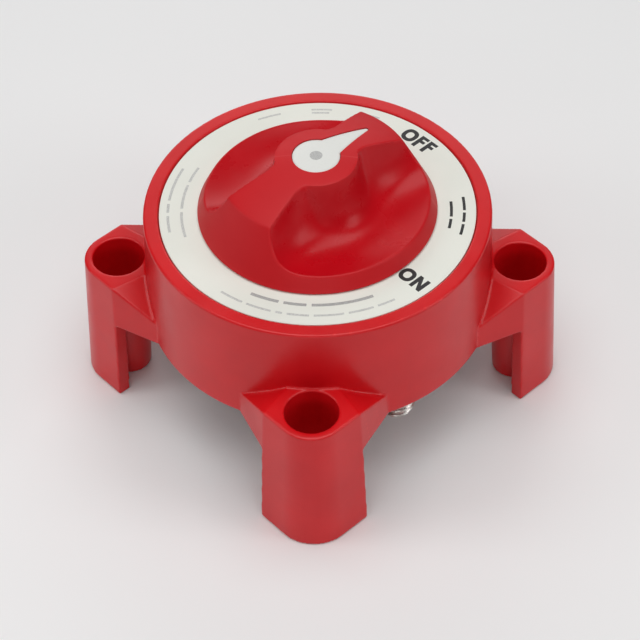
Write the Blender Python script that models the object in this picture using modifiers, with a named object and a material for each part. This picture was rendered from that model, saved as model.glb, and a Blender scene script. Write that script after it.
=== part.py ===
"""Two-position rotary battery switch for a boat, modelled at its real size in metres.

The origin is the centre of the mounting plane, under the four legs, and +Z points out of the panel.
The knob's pointer faces +Y at OFF and +X at ON, the legs stand on the diagonals, and the studs lie on X.
"""

import math

import bmesh
import bpy
from mathutils import Matrix, Vector

MM = 0.001
MERGE = 0.00001
GAP = 0.3 * MM  # between pieces that touch
SLIM_GAP = 0.15 * MM  # between pieces that are pressed or slid together

# Body
RIM_RADIUS = 42.0 * MM
RIM_HEIGHT = 54.6 * MM
RIM_EDGE = 0.5 * MM
BODY_DRAFT = math.tan(math.radians(1.7))
SKIRT_Z = 24.4 * MM
RECESS_RADIUS = 38.4 * MM
DECK_TOP = 53.4 * MM
DECK_UNDER = 50.6 * MM
CAVITY_RADIUS = 38.2 * MM
BASE_POCKET_RADIUS = 39.8 * MM
LEDGE_Z = 33.0 * MM
BORE_RADIUS = 7.3 * MM
BOSS_RADIUS = 10.5 * MM
BOSS_Z = 47.7 * MM
OVERLAP = 1.0 * MM  # how far joined shapes reach into each other, and cutters out of them
CLEAR = 5.0 * MM  # how far long cutters run out of what they cut

# Legs, in each leg's own frame: U points away from the axis, V runs across
LEG_ANGLES = (45, 135, 225, 315)
HOLE_SPACING = 70.0 * MM
HOLE_U = HOLE_SPACING / math.sqrt(2)
LEG_TOP = 37.1 * MM
LEG_DRAFT = math.tan(math.radians(2.9))
NOSE_RADIUS = 8.4 * MM  # at the leg's top, around the hole
NOSE_ANGLE = 45
WEB_OFFSET = 10.3 * MM  # from the hole's axis to the web's outer face, at the leg's top
WEB_ANGLE = 27.3
LEG_WALL = 3.2 * MM
LEG_ROOF = 3.0 * MM
LEG_CLIP_RADIUS = 41.0 * MM
LEG_INNER_U = 33.0 * MM
WING_INNER = (42.1 * MM, 5.9 * MM)
WING_TIP = (37.8 * MM, 17.6 * MM)
WING_DROP = 6.5 * MM
COUNTERBORE_RADIUS = 6.4 * MM
COUNTERBORE_DEPTH = 16.0 * MM
SCREW_HOLE_RADIUS = 3.4 * MM
SCREW_BOSS = (8.3 * MM, 6.45 * MM, 5.45 * MM)  # radius at the counterbore, below it, and at the foot
SCREW_BOSS_STEP = 18.7 * MM
SLOT_SETBACK = 0.3 * MM

# Label
LABEL_RADII = (24.0 * MM, 38.15 * MM)
LABEL_THICKNESS = 0.4 * MM

# Knob, in its own frame: the pointer faces +Y, and Z is measured from the rim
KNOB_RADIUS = 29.1 * MM
KNOB_BASE = -0.2 * MM
KNOB_CREASE_RADIUS = 22.7 * MM
DOME_HEIGHT = 17.35 * MM
DOME_CURVE = 8.38  # the dome falls by this times the square of the radius
HUB_RADIUS = 9.75 * MM
WAIST = 4.96 * MM
FLARE_START = 11.3 * MM
FLARE_SLOPE = 0.22
HUB_BLEND = 1.26 * MM
FLOOR_HEIGHT = 1.9 * MM
LIP_RISE = 2.2 * MM
LIP_RADIUS = 27.3 * MM
WALL_FADE = 2.86 * MM
SOCKET_DEPTH = 8.2 * MM
SCREW_SEAT = 12.4 * MM
SCREW_WELL_RADIUS = 3.9 * MM
SCREW_WAY_RADIUS = 2.3 * MM
ARM_CORE = (2.4 * MM, 10.5 * MM, 21.0 * MM, 9.5 * MM)  # half width, inner and outer end, and roof
RECESS_STEPS = (-1.2, -0.6, 0.0, 0.5, 1.1, 1.9, 3.0, 4.5, 6.5, 9.5, 13.5, 18.0, 24.0)  # mm from the bar
RECESS_STATIONS = 36
RECESS_HALF_LENGTH = 27.0 * MM
ABOVE_KNOB = 32.0 * MM

# Knob screw
KNOB_SCREW_HEAD = (3.5 * MM, 2.2 * MM)  # radius and height
KNOB_SCREW_RADIUS = 2.0 * MM
KNOB_SCREW_POINT = (-1.5 * MM, -2.4 * MM)
CROSS_ARM = (2.0 * MM, 0.4 * MM)  # half length and half width
CROSS_REACH = 0.8  # of those, on each side of the middle

# Pointer insert
INSERT_RADIUS = 5.63 * MM
POINTER_REACH = 16.8 * MM
POINTER_TIP = 0.45 * MM
POINTER_BASE_ANGLE = 34.0
POINTER_LEAN = 80
INSERT_SINK = 0.25 * MM
INSERT_THICKNESS = 1.2 * MM

# Rotor
SHAFT_RADIUS = 7.0 * MM
SHAFT_TOP = 62.2 * MM
SHAFT_FLAT = 4.4 * MM
SHAFT_NECK_RADIUS = 5.8 * MM
SHAFT_NECK_Z = 53.9 * MM
SEAL_Z = 50.6 * MM
SEAL_GROOVE = (5.7 * MM, 1.0 * MM)  # groove's radius and half its height
DISC_RADIUS = 24.0 * MM
DISC_Z = (42.4 * MM, 46.4 * MM)
POST_RADIUS = 4.2 * MM
POST_FOOT = 31.3 * MM
YOKE_X = (7.3 * MM, 10.3 * MM)
YOKE_HALF_LENGTH = 12.0 * MM
YOKE_FOOT = 36.0 * MM
STOP_RADII = (12.0 * MM, 16.0 * MM)
STOP_HALF_ANGLE = 12.0
STOP_PLAY = 0.5
LUG_ANGLE = 135

# Detent
BARREL_RADIUS = 3.4 * MM
BARREL_START = 11.5 * MM
BARREL_Z = 43.9 * MM
BORE_FLOOR = 2.0 * MM
PLUNGER_RADIUS = 2.0 * MM
PLUNGER_X = (19.7 * MM, 26.2 * MM)
DETENT_RING = (26.5 * MM, 29.0 * MM)
DETENT_RING_FOOT = 40.5 * MM
NOTCH_RADIUS = 2.6 * MM
NOTCH_CENTRE = 25.1 * MM
DETENT_SPRING = (1.5 * MM, 0.3 * MM, 5)  # radius, wire radius and turns
THREAD_HOLE = (2.2 * MM, 50.5 * MM)  # radius and floor

# Contacts
STUD_X = 27.4 * MM
STUD_RADIUS = 4.76 * MM
STUD_TIP_Z = 4.7 * MM
STUD_HEAD_RADIUS = 8.5 * MM
STUD_HEAD_Z = (31.9 * MM, 34.7 * MM)
BRIDGE_HALF_LENGTH = 31.2 * MM
BRIDGE_HALF_WIDTH = 7.0 * MM
BRIDGE_SHOULDER = 0.97  # of the half width, at the corners
BRIDGE_Z = (35.0 * MM, 38.0 * MM)
CONTACT_SPRING = (5.9 * MM, 0.6 * MM, 2)  # radius, wire radius and turns
STUD_CHAMFER = 0.8 * MM
STUD_PLAY = 0.25 * MM
STUD_SEAL = (6.2 * MM, 0.6 * MM)  # ring's radius and its section's
STUD_SEAL_DEPTH = 0.5 * MM  # from the base's upper face to the ring's middle
SHAFT_SEAL = (6.5 * MM, 0.7 * MM)
FLAT_WASHER = (10.3 * MM, 1.6 * MM)  # radius and thickness
LOCK_WASHER = (8.4 * MM, 2.3 * MM)
WASHER_SLIT = 0.5 * MM
NUT_ACROSS_FLATS = 14.29 * MM
NUT_HEIGHT = 8.3 * MM
NUT_CHAMFER = 0.9 * MM

# Base
BASE_RADIUS = 39.5 * MM
BASE_Z = (28.2 * MM, 31.6 * MM)
PILLAR_CENTRE = 35.4 * MM
PILLAR_RADIUS = 3.0 * MM
PILLAR_HOLE_TOP = 42.0 * MM
BASE_SCREW_RADIUS = 1.4 * MM
BASE_SCREW_HEAD = (2.9 * MM, 1.9 * MM)  # radius and height
BASE_SCREW_TOP = 40.0 * MM
BEARING = (7.5 * MM, 34.2 * MM)  # radius and top
REST_RADIUS = 7.5 * MM  # the two pads that the bridge's ends lie over at OFF
SEAL_SEAT = (7.3 * MM, 1.4 * MM)  # radius and depth

ROUND = 64  # steps round the large turned pieces
FINE = 32  # steps round the small ones


def clear_scene():
    for obj in list(bpy.data.objects):
        bpy.data.objects.remove(obj, do_unlink=True)


def new_collection(name):
    collection = bpy.data.collections.new(name)
    bpy.context.scene.collection.children.link(collection)
    return collection


def plastic(name, colour, roughness, metallic=0.0):
    material = bpy.data.materials.new(name)
    material.use_nodes = True
    shader = material.node_tree.nodes["Principled BSDF"]
    shader.inputs["Base Color"].default_value = (*colour, 1.0)
    shader.inputs["Roughness"].default_value = roughness
    shader.inputs["Metallic"].default_value = metallic
    material.diffuse_color = (*colour, 1.0)
    return material


def metal(name, colour, roughness):
    return plastic(name, colour, roughness, metallic=1.0)


def place(name, mesh, material=None, parent=None, location=(0, 0, 0)):
    """A piece where a material is given, and otherwise a hidden helper for Booleans."""
    obj = bpy.data.objects.new(name, mesh)
    obj.location = location
    obj.parent = parent
    if material is None:
        TOOLS.objects.link(obj)
        obj.hide_render = True
        obj.display_type = "WIRE"
    else:
        PIECES.objects.link(obj)
        mesh.materials.append(material)
    return obj


def axis_empty(name, location, parent=None):
    empty = bpy.data.objects.new(name, None)
    empty.location = location
    empty.parent = parent
    PIECES.objects.link(empty)
    return empty


def turned(name, profile, material=None, parent=None, location=(0, 0, 0), steps=FINE):
    """Turns a profile of (radius, height) points about Z; its outer side is listed top to bottom."""
    mesh = bpy.data.meshes.new(name)
    points = [(radius, 0, height) for radius, height in profile]
    edges = [(i, i + 1) for i in range(len(points) - 1)]
    if profile[0][0] > 0:
        edges.append((len(points) - 1, 0))
    mesh.from_pydata(points, edges, [])
    obj = place(name, mesh, material, parent, location)
    screw = obj.modifiers.new("Turn", "SCREW")
    screw.steps = screw.render_steps = steps
    screw.use_merge_vertices = True
    screw.merge_threshold = MERGE
    screw.use_smooth_shade = True
    obj.rotation_euler.z = math.pi / steps
    return obj


def cylinder(name, radius, low, high, at=(0, 0), steps=FINE, material=None, parent=None):
    mesh = bpy.data.meshes.new(name)
    bm = bmesh.new()
    bmesh.ops.create_cone(bm, cap_ends=True, segments=steps, radius1=radius, radius2=radius, depth=high - low)
    bmesh.ops.translate(bm, vec=(0, 0, (low + high) / 2), verts=bm.verts)
    bm.to_mesh(mesh)
    bm.free()
    return place(name, mesh, material, parent, (*at, 0))


def ring(name, inner, outer, low, high, at=(0, 0), steps=FINE, **kind):
    profile = [(inner, high), (outer, high), (outer, low), (inner, low)]
    return turned(name, profile, location=(*at, 0), steps=steps, **kind)


def torus(name, major, minor, height, at=(0, 0), **kind):
    angles = [math.tau * i / 10 for i in range(10)]
    profile = [(major - minor * math.cos(a), height + minor * math.sin(a)) for a in angles]
    return turned(name, profile, location=(*at, 0), **kind)


def loft(name, rings, material=None, parent=None, location=(0, 0, 0)):
    """Joins rings of equal length by bands of faces and closes both ends."""
    mesh = bpy.data.meshes.new(name)
    bm = bmesh.new()
    rows = [[bm.verts.new(point) for point in points] for points in rings]
    count = len(rows[0])
    for low, high in zip(rows, rows[1:]):
        for i in range(count):
            j = (i + 1) % count
            bm.faces.new((low[i], low[j], high[j], high[i]))
    bm.faces.new(reversed(rows[0]))
    bm.faces.new(rows[-1])
    bmesh.ops.recalc_face_normals(bm, faces=bm.faces)
    bm.to_mesh(mesh)
    bm.free()
    return place(name, mesh, material, parent, location)


def prism(name, outline, low, high, **kind):
    rings = [[(x, y, z) for x, y in outline] for z in (low, high)]
    return loft(name, rings, **kind)


def box(name, x, y, z, turn=0.0, material=None, parent=None):
    """A block from ranges along X, Y and Z, turned about Z by an angle in degrees."""
    mesh = bpy.data.meshes.new(name)
    bm = bmesh.new()
    bmesh.ops.create_cube(bm, size=1)
    size = Vector((x[1] - x[0], y[1] - y[0], z[1] - z[0]))
    centre = Vector((x[0] + x[1], y[0] + y[1], z[0] + z[1])) / 2
    matrix = Matrix.Translation(centre) @ Matrix.Diagonal(size).to_4x4()
    matrix = Matrix.Rotation(math.radians(turn), 4, "Z") @ matrix
    bmesh.ops.transform(bm, matrix=matrix, verts=bm.verts)
    bm.to_mesh(mesh)
    bm.free()
    return place(name, mesh, material, parent)


def combine(obj, tool, operation):
    modifier = obj.modifiers.new(operation.title(), "BOOLEAN")
    modifier.operation = operation
    modifier.solver = "EXACT"
    modifier.object = tool


def add(obj, *tools):
    for tool in tools:
        combine(obj, tool, "UNION")


def cut(obj, *tools):
    for tool in tools:
        combine(obj, tool, "DIFFERENCE")


def polar(radius, degrees):
    angle = math.radians(degrees)
    return radius * math.cos(angle), radius * math.sin(angle)


def lay_along_x(obj, location, reverse=False):
    """Turns a piece that was made about Z so that it points along +X or -X."""
    obj.rotation_euler = (0, -math.pi / 2 if reverse else math.pi / 2, 0)
    obj.location = location


# ---------------------------------------------------------------- legs


def leg_outline(nose, web):
    """The leg's plan: a round nose about the hole, two straight flanks and two webs to the body."""
    flank_normal = Vector(polar(1, NOSE_ANGLE))
    web_normal = Vector((math.sin(math.radians(WEB_ANGLE)), math.cos(math.radians(WEB_ANGLE))))
    spread = flank_normal.x * web_normal.y - flank_normal.y * web_normal.x
    crease_u = HOLE_U + (nose * web_normal.y - web * flank_normal.y) / spread
    crease_v = (web * flank_normal.x - nose * web_normal.x) / spread
    root_v = crease_v + (crease_u - LEG_INNER_U) * math.tan(math.radians(WEB_ANGLE))
    arc = [polar(nose, -NOSE_ANGLE + 2 * NOSE_ANGLE * i / 8) for i in range(9)]
    points = [(LEG_INNER_U, -root_v), (crease_u, -crease_v)]
    points += [(HOLE_U + u, v) for u, v in arc]
    points += [(crease_u, crease_v), (LEG_INNER_U, root_v)]
    return points


def leg_section(height, inset=0.0):
    drop = (LEG_TOP - height) * LEG_DRAFT
    outline = leg_outline(NOSE_RADIUS + drop - inset, WEB_OFFSET + drop - inset)
    return [(u, v, height) for u, v in outline]


def slope_wings(leg, lower=0.0):
    """Cuts the two triangular facets that fall from the leg's flat top to its web tips."""
    top = LEG_TOP - lower
    bm = bmesh.new()
    bm.from_mesh(leg.data)
    crease = leg_section(LEG_TOP)[-2]
    for side in (1, -1):
        outer = Vector((crease[0], side * crease[1], top))
        inner = Vector((WING_INNER[0], side * WING_INNER[1], top))
        tip = Vector((WING_TIP[0], side * WING_TIP[1], top - WING_DROP))
        normal = (inner - outer).cross(tip - outer)
        if normal.z < 0:
            normal.negate()
        parts = list(bm.verts) + list(bm.edges) + list(bm.faces)
        bmesh.ops.bisect_plane(bm, geom=parts, plane_co=outer, plane_no=normal, clear_outer=True)
        bmesh.ops.holes_fill(bm, edges=bm.edges)
    bmesh.ops.recalc_face_normals(bm, faces=bm.faces)
    bm.to_mesh(leg.data)
    bm.free()


def slot_outline():
    """The plan of what is cut away below the webs, so that the leg stands on its nose and flanks."""
    crease_u, crease_v, _ = leg_section(SKIRT_Z / 2)[-2]
    end_u = crease_u - SLOT_SETBACK * math.cos(math.radians(WEB_ANGLE))
    end_v = crease_v + SLOT_SETBACK * math.sin(math.radians(WEB_ANGLE))
    reach = 2 * LEG_WALL * math.sin(math.radians(NOSE_ANGLE))
    half = [(LEG_INNER_U - MM, 24 * MM), (end_u + reach, end_v + reach), (end_u - reach, end_v - reach)]
    return half + [(u, -v) for u, v in reversed(half)]


def make_leg(index):
    """One hollow leg in its own frame: skin, screw boss, and the slot between it and the body."""
    name = f"leg_{index}"
    hollow_top = LEG_TOP - LEG_ROOF
    leg = loft(name, [leg_section(0), leg_section(LEG_TOP)])
    slope_wings(leg)
    hollow = loft(f"{name}_hollow", [leg_section(-OVERLAP, LEG_WALL), leg_section(hollow_top, LEG_WALL)])
    slope_wings(hollow, LEG_ROOF)
    slot = prism(f"{name}_slot", slot_outline(), -OVERLAP, SKIRT_Z)
    top, middle, foot = SCREW_BOSS
    step = SCREW_BOSS_STEP
    roof = hollow_top + OVERLAP
    profile = [(0, roof), (top, roof), (top, step), (middle, step - GAP), (foot, 0), (0, 0)]
    boss = turned(f"{name}_boss", profile)
    boss.location = (HOLE_U, 0, 0)
    core = cylinder(f"{name}_core", LEG_CLIP_RADIUS, -2 * OVERLAP, LEG_TOP + OVERLAP, steps=ROUND)
    cut(leg, hollow, slot)
    add(leg, boss)
    cut(leg, core)
    for helper in (hollow, slot, boss, core):
        helper.parent = leg
    leg.rotation_euler.z = math.radians(LEG_ANGLES[index])
    return leg


# ---------------------------------------------------------------- housing


def housing_profile():
    drop = (RIM_HEIGHT - SKIRT_Z) * BODY_DRAFT
    outer = [
        (RIM_RADIUS - RIM_EDGE, RIM_HEIGHT),
        (RIM_RADIUS, RIM_HEIGHT - RIM_EDGE),
        (RIM_RADIUS + drop, SKIRT_Z + RIM_EDGE),
        (RIM_RADIUS + drop - RIM_EDGE, SKIRT_Z),
    ]
    skirt = [(BASE_POCKET_RADIUS, SKIRT_Z), (BASE_POCKET_RADIUS, LEDGE_Z), (CAVITY_RADIUS, LEDGE_Z)]
    ring_in, ring_out = DETENT_RING
    deck = [
        (CAVITY_RADIUS, DECK_UNDER),
        (ring_out, DECK_UNDER),
        (ring_out, DETENT_RING_FOOT),
        (ring_in, DETENT_RING_FOOT),
        (ring_in, DECK_UNDER),
        (BOSS_RADIUS, DECK_UNDER),
        (BOSS_RADIUS, BOSS_Z),
        (BORE_RADIUS, BOSS_Z),
        (BORE_RADIUS, DECK_TOP),
    ]
    return outer + skirt + deck + [(RECESS_RADIUS, DECK_TOP), (RECESS_RADIUS, RIM_HEIGHT)]


def stop_block(name, centre, low, high):
    """A block of a ring, used for the rotor's stop lug and for the ribs that it meets."""
    inner, outer = STOP_RADII
    ends = (centre - STOP_HALF_ANGLE, centre + STOP_HALF_ANGLE)
    outline = [polar(inner, ends[0]), polar(outer, ends[0]), polar(outer, ends[1]), polar(inner, ends[1])]
    return prism(name, outline, low, high)


def make_housing(material):
    housing = turned("housing", housing_profile(), material, steps=ROUND)
    for index, degrees in enumerate(LEG_ANGLES):
        add(housing, make_leg(index))
        hole = polar(HOLE_U, degrees)
        floor = LEG_TOP - COUNTERBORE_DEPTH
        cut(
            housing,
            cylinder(f"counterbore_{index}", COUNTERBORE_RADIUS, floor, LEG_TOP + CLEAR, hole, 36),
            cylinder(f"screw_hole_{index}", SCREW_HOLE_RADIUS, -CLEAR, LEG_TOP, hole),
        )
        corner = polar(PILLAR_CENTRE, degrees)
        foot = BASE_Z[1] + GAP
        add(housing, cylinder(f"pillar_{index}", PILLAR_RADIUS, foot, DECK_UNDER + OVERLAP, corner, 20))
        radius = BASE_SCREW_RADIUS + GAP
        cut(housing, cylinder(f"pillar_hole_{index}", radius, foot - CLEAR, PILLAR_HOLE_TOP, corner, 16))
    for index, degrees in enumerate((0, 90, 180, 270)):
        low, high = DETENT_RING_FOOT - OVERLAP, DECK_UNDER - OVERLAP
        cut(housing, cylinder(f"notch_{index}", NOTCH_RADIUS, low, high, polar(NOTCH_CENTRE, degrees), 20))
    reach = 2 * STOP_HALF_ANGLE + STOP_PLAY
    for index, centre in enumerate((LUG_ANGLE + reach, LUG_ANGLE - 90 - reach)):
        foot = BARREL_Z + BARREL_RADIUS + GAP
        add(housing, stop_block(f"stop_rib_{index}", centre, foot, DECK_UNDER + OVERLAP))


def make_label(material):
    low = DECK_TOP + GAP
    return ring("label_ring", *LABEL_RADII, low, low + LABEL_THICKNESS, steps=ROUND, material=material)


# ---------------------------------------------------------------- knob


def dome_height(radius):
    return DOME_HEIGHT - DOME_CURVE * radius * radius


def bar_half_width(along):
    """The bar's half width: a round hub that runs into a waist and then flares to the ends."""
    hub = math.sqrt(max(HUB_RADIUS**2 - along**2, 0))
    arm = WAIST + FLARE_SLOPE * max(abs(along) - FLARE_START, 0)
    return (hub + arm + math.hypot(hub - arm, HUB_BLEND)) / 2


def recess_height(along, across):
    """The finger recess's surface: a wall that falls from the bar's edge into a floor with a raised lip."""
    edge = bar_half_width(along)
    floor = FLOOR_HEIGHT + LIP_RISE * (math.hypot(along, across) / LIP_RADIUS) ** 4
    rise = dome_height(math.hypot(along, edge)) - floor
    return floor + rise * math.exp((edge - across) / WALL_FADE)


def recess_cutter(name, side, parent):
    """The space of one finger recess, as cross sections along the bar."""
    rings = []
    for i in range(RECESS_STATIONS + 1):
        along = RECESS_HALF_LENGTH * (2 * i / RECESS_STATIONS - 1)
        across = [bar_half_width(along) + step * MM for step in RECESS_STEPS]
        section = [(side * v, along, recess_height(along, v)) for v in across]
        section += [(side * across[-1], along, ABOVE_KNOB), (side * across[0], along, ABOVE_KNOB)]
        rings.append(section)
    return loft(name, rings, parent=parent)


def insert_outline(margin):
    """A disc with a long pointer towards +Y."""
    radius = INSERT_RADIUS + margin
    tip = POINTER_TIP + margin
    start = 90 + POINTER_BASE_ANGLE
    sweep = 360 - 2 * POINTER_BASE_ANGLE
    disc = [polar(radius, start + sweep * i / 24) for i in range(25)]
    tip_y = POINTER_REACH - POINTER_TIP
    nose = [polar(tip, 90 - POINTER_LEAN + 2 * POINTER_LEAN * i / 5) for i in range(6)]
    return disc + [(x, y + tip_y) for x, y in nose]


def dome_shell(name, shallow, deep, parent):
    """A cap between two depths under the knob's dome."""
    radii = [KNOB_CREASE_RADIUS * i / 10 for i in range(11)]
    top = [(r, dome_height(r) - shallow) for r in radii]
    under = [(r, dome_height(r) - deep) for r in reversed(radii)]
    return turned(name, top + under, parent=parent, steps=48)


def make_knob(material, parent):
    radii = [KNOB_CREASE_RADIUS * i / 6 for i in range(7)]
    profile = [(r, dome_height(r)) for r in radii] + [(KNOB_RADIUS, KNOB_BASE), (0, KNOB_BASE)]
    knob = turned("knob", profile, material, parent, steps=ROUND)
    cut(knob, recess_cutter("recess_right", 1, parent), recess_cutter("recess_left", -1, parent))
    pocket = prism("insert_pocket", insert_outline(SLIM_GAP), SOCKET_DEPTH, ABOVE_KNOB, parent=parent)
    depth = INSERT_SINK + INSERT_THICKNESS + GAP
    combine(pocket, dome_shell("pocket_depth", -CLEAR, depth, parent), "INTERSECT")
    foot = KNOB_BASE - OVERLAP
    socket = cylinder("socket", SHAFT_NECK_RADIUS + GAP, foot, SOCKET_DEPTH, parent=parent)
    span = (-2 * CLEAR, 2 * CLEAR)
    for side in (1, -1):
        flat = sorted((side * (SHAFT_FLAT + SLIM_GAP), side * 2 * CLEAR))
        cut(socket, box(f"socket_flat_{side}", flat, span, (-CLEAR, ABOVE_KNOB), parent=parent))
    head = cylinder("screw_seat", SCREW_WELL_RADIUS, SCREW_SEAT, ABOVE_KNOB, parent=parent)
    way = (SOCKET_DEPTH - OVERLAP, SCREW_SEAT + OVERLAP)
    shank = cylinder("screw_way", SCREW_WAY_RADIUS, *way, steps=20, parent=parent)
    cut(knob, pocket, socket, head, shank)
    half_width, inner, outer, roof = ARM_CORE
    for side in (1, -1):
        ends = sorted((side * inner, side * outer))
        cut(knob, box(f"arm_core_{side}", (-half_width, half_width), ends, (foot, roof), parent=parent))


def make_insert(material, parent):
    outline = insert_outline(0)
    insert = prism("pointer_insert", outline, SOCKET_DEPTH, ABOVE_KNOB, material=material, parent=parent)
    shell = dome_shell("insert_shell", INSERT_SINK, INSERT_SINK + INSERT_THICKNESS, parent)
    combine(insert, shell, "INTERSECT")


def make_knob_screw(material, parent):
    seat = SCREW_SEAT + GAP
    radius, height = KNOB_SCREW_HEAD
    taper, point = KNOB_SCREW_POINT
    profile = [
        (0, seat + height),
        (0.75 * radius, seat + height),
        (radius, seat + 0.6 * height),
        (radius, seat),
        (KNOB_SCREW_RADIUS, seat),
        (KNOB_SCREW_RADIUS, taper),
        (0.7 * KNOB_SCREW_RADIUS, point),
        (0, point),
    ]
    screw = turned("knob_screw", profile, material, parent, steps=24)
    length, width = CROSS_ARM
    depth = (seat + 0.55 * height, seat + 2 * height)
    for index, turn in enumerate((45, 135)):
        arm = ((-length, length), (-width, width))
        cut(screw, box(f"screw_cross_{index}", *arm, depth, turn, parent=parent))


# ---------------------------------------------------------------- rotor and detent


def make_rotor(material, parent):
    groove, half = SEAL_GROOVE
    low, high = DISC_Z
    profile = [
        (0, SHAFT_TOP),
        (SHAFT_NECK_RADIUS, SHAFT_TOP),
        (SHAFT_NECK_RADIUS, SHAFT_NECK_Z),
        (SHAFT_RADIUS, SHAFT_NECK_Z),
        (SHAFT_RADIUS, SEAL_Z + half),
        (groove, SEAL_Z + half),
        (groove, SEAL_Z - half),
        (SHAFT_RADIUS, SEAL_Z - half),
        (SHAFT_RADIUS, high),
        (DISC_RADIUS, high),
        (DISC_RADIUS, low),
        (POST_RADIUS, low),
        (POST_RADIUS, POST_FOOT),
        (0, POST_FOOT),
    ]
    rotor = turned("rotor", profile, material, parent, (0, 0, -RIM_HEIGHT), steps=48)
    for side in (1, -1):
        barrel = cylinder(f"barrel_{side}", BARREL_RADIUS, BARREL_START, DISC_RADIUS + 2 * GAP)
        lay_along_x(barrel, (0, 0, BARREL_Z), side < 0)
        reach = (BARREL_START + BORE_FLOOR, DISC_RADIUS + CLEAR)
        bore = cylinder(f"barrel_bore_{side}", PLUNGER_RADIUS + SLIM_GAP, *reach)
        lay_along_x(bore, (0, 0, BARREL_Z), side < 0)
        yoke = sorted((side * YOKE_X[0], side * YOKE_X[1]))
        span = (-YOKE_HALF_LENGTH, YOKE_HALF_LENGTH)
        flat = sorted((side * SHAFT_FLAT, side * 2 * CLEAR))
        add(rotor, barrel, box(f"yoke_{side}", yoke, span, (YOKE_FOOT, low + OVERLAP)))
        top = (SHAFT_NECK_Z + GAP, SHAFT_TOP + OVERLAP)
        cut(rotor, bore, box(f"shaft_flat_{side}", flat, (-2 * CLEAR, 2 * CLEAR), top))
    add(rotor, stop_block("stop_lug", LUG_ANGLE, high - OVERLAP, DECK_UNDER - 4 * GAP))
    radius, floor = THREAD_HOLE
    cut(rotor, cylinder("thread_hole", radius, floor, SHAFT_TOP + OVERLAP, steps=20))


def coil(name, radius, wire, low, high, turns, material, parent):
    """A compression spring about Z, as a wire along a helix."""
    curve = bpy.data.curves.new(name, "CURVE")
    curve.dimensions = "3D"
    curve.bevel_depth = wire
    curve.bevel_resolution = 2
    curve.use_fill_caps = True
    per_turn = 16
    count = round(turns * per_turn)
    spline = curve.splines.new("POLY")
    spline.points.add(count)
    for i, point in enumerate(spline.points):
        x, y = polar(radius, 360 * i / per_turn)
        point.co = (x, y, low + (high - low) * i / count, 1)
    obj = place(name, curve, material, parent)
    obj.modifiers.new("Join caps", "WELD").merge_threshold = MERGE
    return obj


def make_detent(side, letter, steel, brass, parent):
    reach = PLUNGER_X[1] - PLUNGER_X[0]
    tip = [polar(PLUNGER_RADIUS, 90 - 15 * i) for i in range(7)]
    profile = [(r, reach - PLUNGER_RADIUS + z) for r, z in tip] + [(PLUNGER_RADIUS, 0), (0, 0)]
    profile[0] = (0, reach)
    plunger = turned(f"detent_plunger_{letter}", profile, brass, parent, steps=24)
    lay_along_x(plunger, (side * PLUNGER_X[0], 0, BARREL_Z - RIM_HEIGHT), side < 0)
    start = BARREL_START + BORE_FLOOR
    radius, wire, turns = DETENT_SPRING
    length = PLUNGER_X[0] - start - 2 * GAP
    spring = coil(f"detent_spring_{letter}", radius, wire, wire, length - wire, turns, steel, parent)
    lay_along_x(spring, (side * (start + GAP), 0, BARREL_Z - RIM_HEIGHT), side < 0)


# ---------------------------------------------------------------- contacts and terminals


def make_bridge(material, parent):
    corner = BRIDGE_SHOULDER * BRIDGE_HALF_WIDTH
    square = math.sqrt(BRIDGE_HALF_LENGTH**2 - corner**2)
    spread = math.degrees(math.atan2(corner, square))
    end = [polar(BRIDGE_HALF_LENGTH, 90 + spread - 2 * spread * i / 8) for i in range(9)]
    outline = end + [(-x, -y) for x, y in end]
    low, high = (z - RIM_HEIGHT for z in BRIDGE_Z)
    bridge = prism("contact_bridge", outline, low, high, material=material, parent=parent)
    cut(bridge, cylinder("bridge_hole", POST_RADIUS + GAP, BRIDGE_Z[0] - CLEAR, BRIDGE_Z[1] + CLEAR))


def make_stud(side, x, material):
    low, high = STUD_HEAD_Z
    profile = [
        (0, high),
        (STUD_HEAD_RADIUS - STUD_CHAMFER, high),
        (STUD_HEAD_RADIUS, high - STUD_CHAMFER),
        (STUD_HEAD_RADIUS, low),
        (STUD_RADIUS, low),
        (STUD_RADIUS, STUD_TIP_Z + STUD_CHAMFER),
        (STUD_RADIUS - STUD_CHAMFER, STUD_TIP_Z),
        (0, STUD_TIP_Z),
    ]
    turned(f"stud_{side}", profile, material, location=(x, 0, 0))


def make_stud_hardware(side, x, steel, rubber):
    bore = STUD_RADIUS + STUD_PLAY
    seat = BASE_Z[0] - GAP
    radius, section = STUD_SEAL
    torus(f"stud_seal_{side}", radius, section, BASE_Z[1] - STUD_SEAL_DEPTH, (x, 0), material=rubber)
    radius, thickness = FLAT_WASHER
    ring(f"flat_washer_{side}", bore, radius, seat - thickness, seat, (x, 0), material=steel)
    seat -= thickness + GAP
    radius, thickness = LOCK_WASHER
    lock = ring(f"lock_washer_{side}", bore, radius, seat - thickness, seat, (x, 0), material=steel)
    slit_x = (x - WASHER_SLIT, x + WASHER_SLIT)
    height = (seat - thickness - OVERLAP, seat + OVERLAP)
    cut(lock, box(f"washer_slit_{side}", slit_x, (bore - OVERLAP, radius + OVERLAP), height))
    make_nut(side, x, seat - thickness - GAP, bore, steel)


def make_nut(side, x, seat, bore, material):
    corner = NUT_ACROSS_FLATS / math.sqrt(3)
    low = seat - NUT_HEIGHT
    outline = [(x + u, v) for u, v in (polar(corner, 60 * i + 30) for i in range(6))]
    nut = prism(f"hex_nut_{side}", outline, low, seat, material=material)
    cut(nut, cylinder(f"nut_thread_{side}", bore, low - OVERLAP, seat + OVERLAP, (x, 0)))
    face = corner - NUT_CHAMFER
    rise = NUT_CHAMFER / 2
    profile = [(0, seat), (face, seat), (corner, seat - rise), (corner, low + rise), (face, low), (0, low)]
    combine(nut, turned(f"nut_round_{side}", profile, location=(x, 0, 0), steps=48), "INTERSECT")


# ---------------------------------------------------------------- base


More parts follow.
